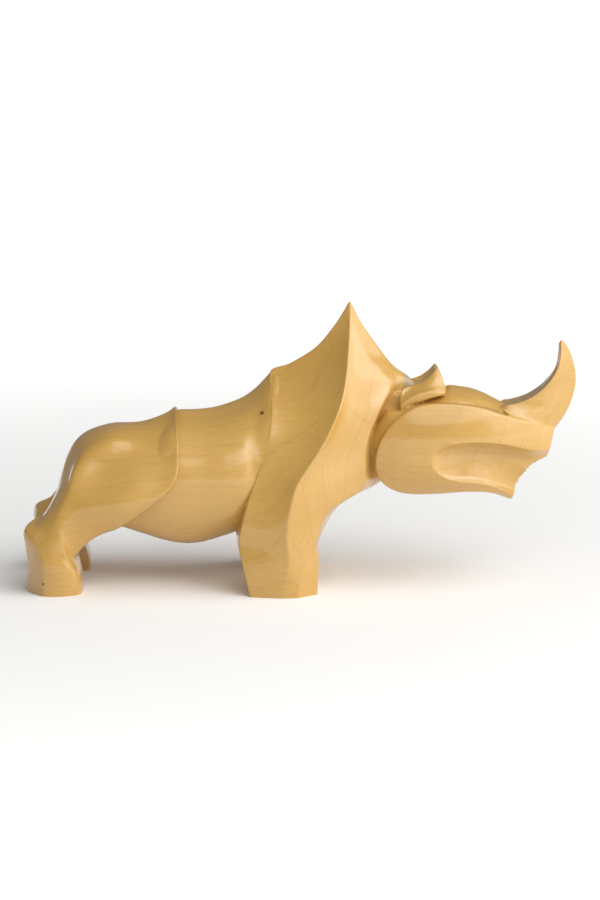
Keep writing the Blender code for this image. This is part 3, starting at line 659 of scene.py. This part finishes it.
HORN_ROOT = [(138, -19, 105.5, 7), (145, -16, 103, 9), (152, -11, 101, 9), (158, -5, 99, 8),
             (128.5, -14, 112.5, 4.5)]
WITHERS = [(-20, -38, 92, 8), (-22.5, -40.5, 86, 7)]
THIGH = [(-114, -38, 41, 9)]
MOUTH_END = [(84, -33, 82, 9), (89, -33, 90.5, 7)]
HORN_EDGE = [(127.5, -13.5, 112.5, 5)]
sand_seams(carving, passes=2, turn=0.35)
melted(carving.data, HORN_ROOT + WITHERS + THIGH, passes=14)
melted(carving.data, MOUTH_END + HORN_EDGE, passes=60)


# %% Mirror and weld
def mirrored(body, weld, dust):
    """The near half and its mirror image as one mesh. A point within `weld` metres of its own
    image is joined to it, and then all points within `dust` metres of each other are merged."""
    mirror = body.modifiers.new("other_half", "MIRROR")
    mirror.use_axis = (False, True, False)
    mirror.merge_threshold = weld
    view = bpy.context.evaluated_depsgraph_get()
    whole = bpy.data.meshes.new_from_object(body.evaluated_get(view))
    body.modifiers.clear()
    shape = bmesh.new()
    shape.from_mesh(whole)
    bmesh.ops.remove_doubles(shape, verts=shape.verts, dist=dust)
    print("edges that do not join two faces:",
          sum(len(edge.link_faces) != 2 for edge in shape.edges))
    shape.to_mesh(whole)
    shape.free()
    return whole


carving.data = mirrored(carving, weld=0.00001, dust=0.000005)
carving.data.shade_smooth()
carving.data.set_sharp_from_angle(angle=math.radians(40))
carving.data.calc_loop_triangles()
print("the whole carving:", len(carving.data.loop_triangles), "triangles")

# %% [markdown]
# ## Wood
# The block was sawn so that its growth layers lie almost flat against the animal's sides. Each
# layer is a thin brown sheet in the block, and where the carving cuts through a sheet its edge
# shows as a contour line, as on a map. So the pattern is worked out in the block, in Object
# coordinates, and not painted on: distance from the tree's centre, bent a little by noise.
# Short dark flecks run along the grain, which is the animal's length, and fade where the wood is
# cut across. Two pin knots sit where the tree had twigs. The hollow between the ears gets painted
# shade: its colour is mixed towards a dull grey-brown.


# %% Node helpers
def feed(tree, socket, value):
    """Puts a number or colour on a socket, or links another node's output to it."""
    if isinstance(value, (int, float, tuple)):
        socket.default_value = value
    else:
        tree.links.new(value, socket)


def math_node(tree, operation, *values, clamp=False):
    """One step of arithmetic, worked out anew for each point of the surface."""
    node = tree.nodes.new("ShaderNodeMath")
    node.operation = operation
    node.use_clamp = clamp
    for socket, value in zip(node.inputs, values):
        feed(tree, socket, value)
    return node.outputs[0]


def ramp(tree, value, start, end, low=0.0, high=1.0):
    """`low` where the value is below `start`, `high` where it is above `end`, and a smooth S
    between them."""
    node = tree.nodes.new("ShaderNodeMapRange")
    node.interpolation_type = "SMOOTHSTEP"
    for label, given in (("Value", value), ("From Min", start), ("From Max", end),
                         ("To Min", low), ("To Max", high)):
        feed(tree, node.inputs[label], given)
    return node.outputs["Result"]


def distance(tree, place, centre):
    """How far each point of the surface lies from `centre`, in metres."""
    node = tree.nodes.new("ShaderNodeVectorMath")
    node.operation = "DISTANCE"
    tree.links.new(place, node.inputs[0])
    node.inputs[1].default_value = centre
    return node.outputs["Value"]


def parts(tree, vector):
    """The X, Y and Z of a vector."""
    node = tree.nodes.new("ShaderNodeSeparateXYZ")
    tree.links.new(vector, node.inputs["Vector"])
    return node.outputs["X"], node.outputs["Y"], node.outputs["Z"]


print("helpers:", [helper.__name__ for helper in (feed, math_node, ramp, distance, parts)])


# %% Grain group
HEART = (0.108, 0.065)  # y and z of the tree's centre where x is 0, in metres
LEAN = 0.06  # the centre comes this much nearer with each metre of x
END_GRAIN = 0.6  # below 1, the flecks stay strong until the wood is cut almost straight across


def grain_group():
    """Shader group. Line: a thin dark line at the end of each growth ring, broken by noise.
    Season: 0 to 1 across each ring. Fleck: noise drawn out along X, faded on end grain by a
    power of how far the surface faces away from X. Tone: broad noise. A ring's radius is the
    distance from the heart, which lies behind the figure, plus a little noise."""
    group = bpy.data.node_groups.new("growth_and_fleck", "ShaderNodeTree")
    face = group.interface
    face.new_socket("Vector", in_out="INPUT", socket_type="NodeSocketVector")
    for label, value in (("Ring Width", 0.0085), ("Line Width", 0.08), ("Wander", 0.010)):
        socket = face.new_socket(label, in_out="INPUT", socket_type="NodeSocketFloat")
        socket.default_value = value
    for label in ("Line", "Season", "Fleck", "Tone"):
        face.new_socket(label, in_out="OUTPUT", socket_type="NodeSocketFloat")
    nodes, links = group.nodes, group.links
    given = nodes.new("NodeGroupInput")
    result = nodes.new("NodeGroupOutput")

    def worked(operation, *values):
        return math_node(group, operation, *values)

    def noise(scale, detail, stretch):
        mapping = nodes.new("ShaderNodeMapping")
        mapping.inputs["Scale"].default_value = stretch
        links.new(given.outputs["Vector"], mapping.inputs["Vector"])
        node = nodes.new("ShaderNodeTexNoise")
        node.inputs["Scale"].default_value = scale
        node.inputs["Detail"].default_value = detail
        links.new(mapping.outputs["Vector"], node.inputs["Vector"])
        return node.outputs["Fac"]

    x, y, z = parts(group, given.outputs["Vector"])
    wander = worked("SUBTRACT", noise(9.0, 2.0, (0.6, 1.0, 1.0)), 0.5)
    wander = worked("MULTIPLY", wander, given.outputs["Wander"])
    across = worked("ADD", worked("SUBTRACT", y, HEART[0]), worked("MULTIPLY", x, LEAN))
    up = worked("SUBTRACT", z, HEART[1])
    radius = worked("SQRT", worked("ADD", worked("MULTIPLY", across, across),
                                   worked("MULTIPLY", up, up)))
    radius = worked("ADD", radius, worked("MULTIPLY", wander, 2.0))
    ring = worked("FRACT", worked("DIVIDE", radius, given.outputs["Ring Width"]))
    gap = worked("ABSOLUTE", worked("SUBTRACT", ring, 0.5))
    line = ramp(group, gap, 0.0, given.outputs["Line Width"], 1.0, 0.0)
    faint = worked("MULTIPLY", noise(26.0, 2.0, (0.4, 1.0, 1.0)), 1.7)
    links.new(worked("MULTIPLY", line, faint), result.inputs["Line"])
    links.new(ring, result.inputs["Season"])
    normal = nodes.new("ShaderNodeNewGeometry").outputs["Normal"]
    side = worked("SUBTRACT", 1.0, worked("ABSOLUTE", parts(group, normal)[0]))
    streak = worked("SUBTRACT", noise(700.0, 3.0, (0.045, 1.0, 1.0)), 0.5)
    fleck = worked("MULTIPLY", streak, worked("POWER", side, END_GRAIN))
    links.new(worked("ADD", fleck, 0.5), result.inputs["Fleck"])
    links.new(noise(16.0, 3.0, (0.35, 1.0, 1.0)), result.inputs["Tone"])
    return group


growth = grain_group()
print("outputs of the grain group:", [s.name for s in growth.interface.items_tree
                                      if s.in_out == "OUTPUT"])


# %% Varnished wood
PALE = (0.67, 0.40, 0.105, 1)
WARM = (0.57, 0.315, 0.056, 1)
FLECK = (0.45, 0.22, 0.048, 1)
BROWN = (0.30, 0.135, 0.035, 1)
# Painted shade: the grey-brown that darkens the hollow between the ears.
GULLY_SHADE = (0.30, 0.27, 0.19, 1)
KNOT = (0.10, 0.045, 0.016, 1)
KNOTS = [((-0.0249, -0.0242, 0.1123), 0.0020), ((-0.1620, -0.0502, 0.0081), 0.0013)]


def varnished_wood():
    """Broad tone, season, flecks, growth lines, painted shade in the hollow between the ears
    and the pin knots are mixed in that order. The flecks also move the roughness and raise
    the bump."""
    wood = bpy.data.materials.new("varnished_hardwood")
    wood.use_nodes = True
    tree = wood.node_tree
    nodes, links = tree.nodes, tree.links
    surface = nodes["Principled BSDF"]
    place = nodes.new("ShaderNodeTexCoord").outputs["Object"]
    grain = nodes.new("ShaderNodeGroup")
    grain.node_tree = growth
    links.new(place, grain.inputs["Vector"])

    def mix(factor, a, b):
        node = nodes.new("ShaderNodeMix")
        node.data_type = "RGBA"
        for label, value in (("Factor", factor), ("A", a), ("B", b)):
            feed(tree, node.inputs[label], value)
        return node.outputs["Result"]

    def scaled(value, amount, offset=0.0):
        return math_node(tree, "MULTIPLY_ADD", value, amount, offset, clamp=True)

    colour = mix(scaled(grain.outputs["Tone"], 2.2, -0.6), PALE, WARM)
    colour = mix(scaled(grain.outputs["Season"], 0.20), colour, WARM)
    colour = mix(scaled(grain.outputs["Fleck"], 1.3, -0.64), colour, FLECK)
    colour = mix(scaled(grain.outputs["Line"], 0.13), colour, BROWN)
    x, y, z = parts(tree, place)
    # Painted shade: in the hollow between the ears the colour is mixed up to 60% towards a dull
    # grey-brown.
    across = ramp(tree, math_node(tree, "ABSOLUTE", y), 0.0098, 0.0122, 1.0, 0.0)
    from_ears = math_node(tree, "ABSOLUTE", math_node(tree, "SUBTRACT", x, 0.0755))
    along = ramp(tree, from_ears, 0.009, 0.013, 1.0, 0.0)
    high = ramp(tree, z, 0.119, 0.1235)
    gully_shade = math_node(tree, "MULTIPLY", math_node(tree, "MULTIPLY", across, along), high)
    colour = mix(scaled(gully_shade, 0.6), colour, GULLY_SHADE)
    for centre, radius in KNOTS:
        knot = ramp(tree, distance(tree, place, centre), radius / 3, radius, 1.0, 0.0)
        colour = mix(knot, colour, KNOT)
    links.new(colour, surface.inputs["Base Color"])
    links.new(scaled(grain.outputs["Fleck"], 0.16, 0.30), surface.inputs["Roughness"])
    surface.inputs["Coat Weight"].default_value = 1.0
    surface.inputs["Coat Roughness"].default_value = 0.13
    bump = nodes.new("ShaderNodeBump")
    bump.inputs["Strength"].default_value = 0.06
    bump.inputs["Distance"].default_value = 0.0004
    links.new(grain.outputs["Fleck"], bump.inputs["Height"])
    links.new(bump.outputs["Normal"], surface.inputs["Normal"])
    return wood


carving.data.materials.clear()
carving.data.materials.append(varnished_wood())
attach(carving, "root")
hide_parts("rhinoceros")
print("the carving wears", carving.data.materials[0].name)

# %% [markdown]
# ## Floor, lights and camera
# The photograph was taken from a little above, with large soft windows of light to the right
# and in front. Each window is an area lamp, because the varnish mirrors its shape: that is where
# the pale patches on the neck, the barrel and the haunch come from. A wide, soft sun and a faint
# pale room fill the rest. The paper behind the figure is white in the picture, so the floor
# glows a little, more and more with the distance from its middle.


# %% Floor
def studio_floor():
    """A square of 40 m. Its glow rises with the distance from the middle, from 0.05 within
    0.1 m to 0.62 beyond 1.5 m."""
    half = 20.0
    mesh = bpy.data.meshes.new("studio_floor")
    corners = [(-half, -half, 0), (half, -half, 0), (half, half, 0), (-half, half, 0)]
    mesh.from_pydata(corners, [], [(0, 1, 2, 3)])
    floor = bpy.data.objects.new("studio_floor", mesh)
    bpy.context.scene.collection.objects.link(floor)
    paint = bpy.data.materials.new("pale_floor")
    paint.use_nodes = True
    tree = paint.node_tree
    surface = tree.nodes["Principled BSDF"]
    surface.inputs["Base Color"].default_value = (0.93, 0.93, 0.92, 1)
    surface.inputs["Roughness"].default_value = 0.9
    surface.inputs["Specular IOR Level"].default_value = 0.1
    place = tree.nodes.new("ShaderNodeTexCoord").outputs["Object"]
    glow = ramp(tree, distance(tree, place, (0, 0, 0)), 0.1, 1.5, 0.05, 0.62)
    tree.links.new(glow, surface.inputs["Emission Color"])
    surface.inputs["Emission Strength"].default_value = 1.0
    mesh.materials.append(paint)
    return floor


floor = studio_floor()
print("the floor is", floor.dimensions.x, "m wide")


# %% Lights
AIM = Vector((0.0, 0.0, 0.09))  # the lamps face the middle of the figure


def aimed(name, lamp, place):
    """Hangs a lamp at `place` and turns it towards the figure."""
    holder = bpy.data.objects.new(name, lamp)
    bpy.context.scene.collection.objects.link(holder)
    holder.location = place
    holder.rotation_euler = (AIM - Vector(place)).to_track_quat("-Z", "Y").to_euler()
    return holder


def window(name, place, size, power):
    """A rectangle of even white light, its size in metres and its power in watts."""
    lamp = bpy.data.lights.new(name, "AREA")
    lamp.shape = "RECTANGLE"
    lamp.size, lamp.size_y = size
    lamp.energy = power
    return aimed(name, lamp, place)


window("right_window", (1.45, -0.47, 0.72), (2.2, 1.25), 16)
window("front_window", (0.42, -1.0, 0.98), (1.3, 0.9), 6.2)
day = bpy.data.lights.new("even_daylight", "SUN")
day.energy = 1.4
day.angle = math.radians(60)
aimed("even_daylight", day, (1.2, -0.6, 2.2))
room = bpy.data.worlds.new("pale_room")
room.use_nodes = True
room.node_tree.nodes["Background"].inputs["Color"].default_value = (1, 1, 1, 1)
room.node_tree.nodes["Background"].inputs["Strength"].default_value = 0.2
bpy.context.scene.world = room
bpy.context.scene.view_settings.view_transform = "Standard"

# %% Camera
eye = bpy.data.cameras.new("viewer")
eye.lens = 112.7
eye.clip_start = 0.01
viewer = bpy.data.objects.new("viewer", eye)
bpy.context.scene.collection.objects.link(viewer)
viewer.location = (-0.00105, -1.7678, 0.4228)
looking_down = 10.85  # degrees
viewer.rotation_euler = (math.radians(90 - looking_down), 0, 0)
bpy.context.scene.camera = viewer
print("the camera stands", round(viewer.location.length, 3), "m away")
